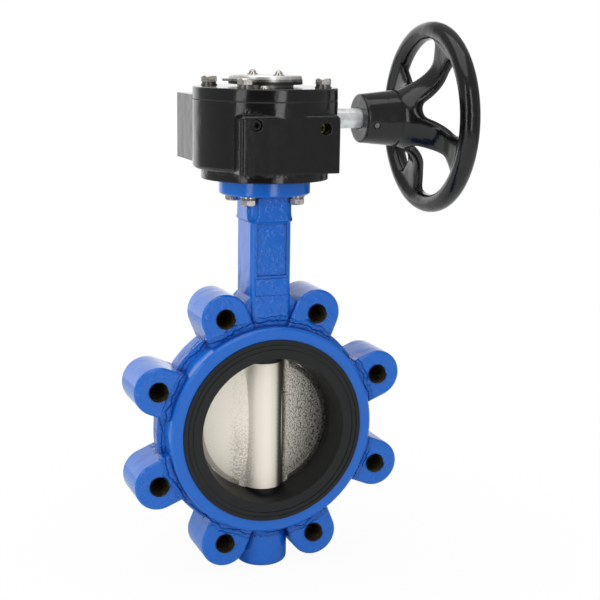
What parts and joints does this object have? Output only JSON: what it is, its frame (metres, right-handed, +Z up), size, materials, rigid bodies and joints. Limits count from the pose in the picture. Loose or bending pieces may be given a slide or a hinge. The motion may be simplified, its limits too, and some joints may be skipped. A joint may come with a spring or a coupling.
{
  "type": "lug butterfly valve with worm gear and handwheel",
  "caption": "Lug-type butterfly valve with a rubber seat and a plated disc, turned through a worm gear by a dished spoked handwheel.",
  "frame": {"origin": "centre of the pipe bore, where the stem axis crosses the pipe axis", "axes": "+Z up along the stem to the gearbox, Y along the pipe with the stop screws facing -Y, +X towards the handwheel"},
  "size_m": [0.2593, 0.1693, 0.3973],
  "materials": {
    "blue_paint": "glossy blue enamel over cast iron, with slight orange peel",
    "black_paint": "glossy black enamel over cast iron",
    "rubber": "smooth black EPDM rubber",
    "nickel_plate": "nickel plated rough casting",
    "stainless": "turned stainless steel",
    "zinc_steel": "bright zinc plated steel",
    "dark_steel": "oiled plain steel",
    "bronze": "plain bronze",
    "bare_iron": "machined ductile iron",
    "black_plastic": "moulded black plastic"
  },
  "bodies": {
    "valve": {"valve_body": "blue_paint", "seat_liner": "rubber", "neck_bushing": "bronze", "top_bushing": "bronze", "bottom_bushing": "bronze", "stem_o_rings": "rubber", "stem_thrust_washer": "dark_steel", "bottom_thrust_pad": "dark_steel", "bottom_gasket": "rubber", "bottom_plug": "zinc_steel", "flange_bolts": "zinc_steel", "flange_washers": "zinc_steel", "flange_spring_washers": "zinc_steel", "gear_housing": "black_paint", "gear_cover": "black_paint", "cover_gasket": "rubber", "cover_seal": "rubber", "cover_index_stud": "stainless", "cover_bolts": "zinc_steel", "cover_washers": "zinc_steel", "cover_spring_washers": "zinc_steel", "stop_screws": "zinc_steel", "inner_shaft_bushing": "bronze", "outer_shaft_bushing": "bronze", "worm_thrust_washers": "dark_steel", "bearing_cap": "black_paint", "bearing_cap_screws": "zinc_steel", "shaft_seal": "rubber"},
    "disc_train": {"disc": "nickel_plate", "upper_stem": "stainless", "lower_stem": "stainless", "stem_key": "dark_steel", "stem_circlip": "dark_steel", "quadrant_gear": "bare_iron", "indicator_base": "black_plastic", "indicator_pointer": "zinc_steel", "indicator_dial": "zinc_steel", "indicator_screws": "stainless"},
    "wheel_train": {"worm": "dark_steel", "worm_pin": "dark_steel", "input_shaft": "zinc_steel", "handwheel": "black_paint", "handwheel_pin": "zinc_steel"}
  },
  "joints": [
    {"name": "handwheel_turn", "type": "hinge", "parent": "valve", "child": "wheel_train", "pos_m": [0, 0.045, 0.218], "axis": [1, 0, 0], "range_deg": [0, 2160]},
    {"name": "disc_turn", "type": "hinge", "parent": "valve", "child": "disc_train", "pos_m": [0, 0, 0], "axis": [0, 0, 1], "range_deg": [0, 90]}
  ],
  "couplings": [
    {"joint": "disc_turn", "follows": "handwheel_turn", "ratio": 0.041667}
  ]
}
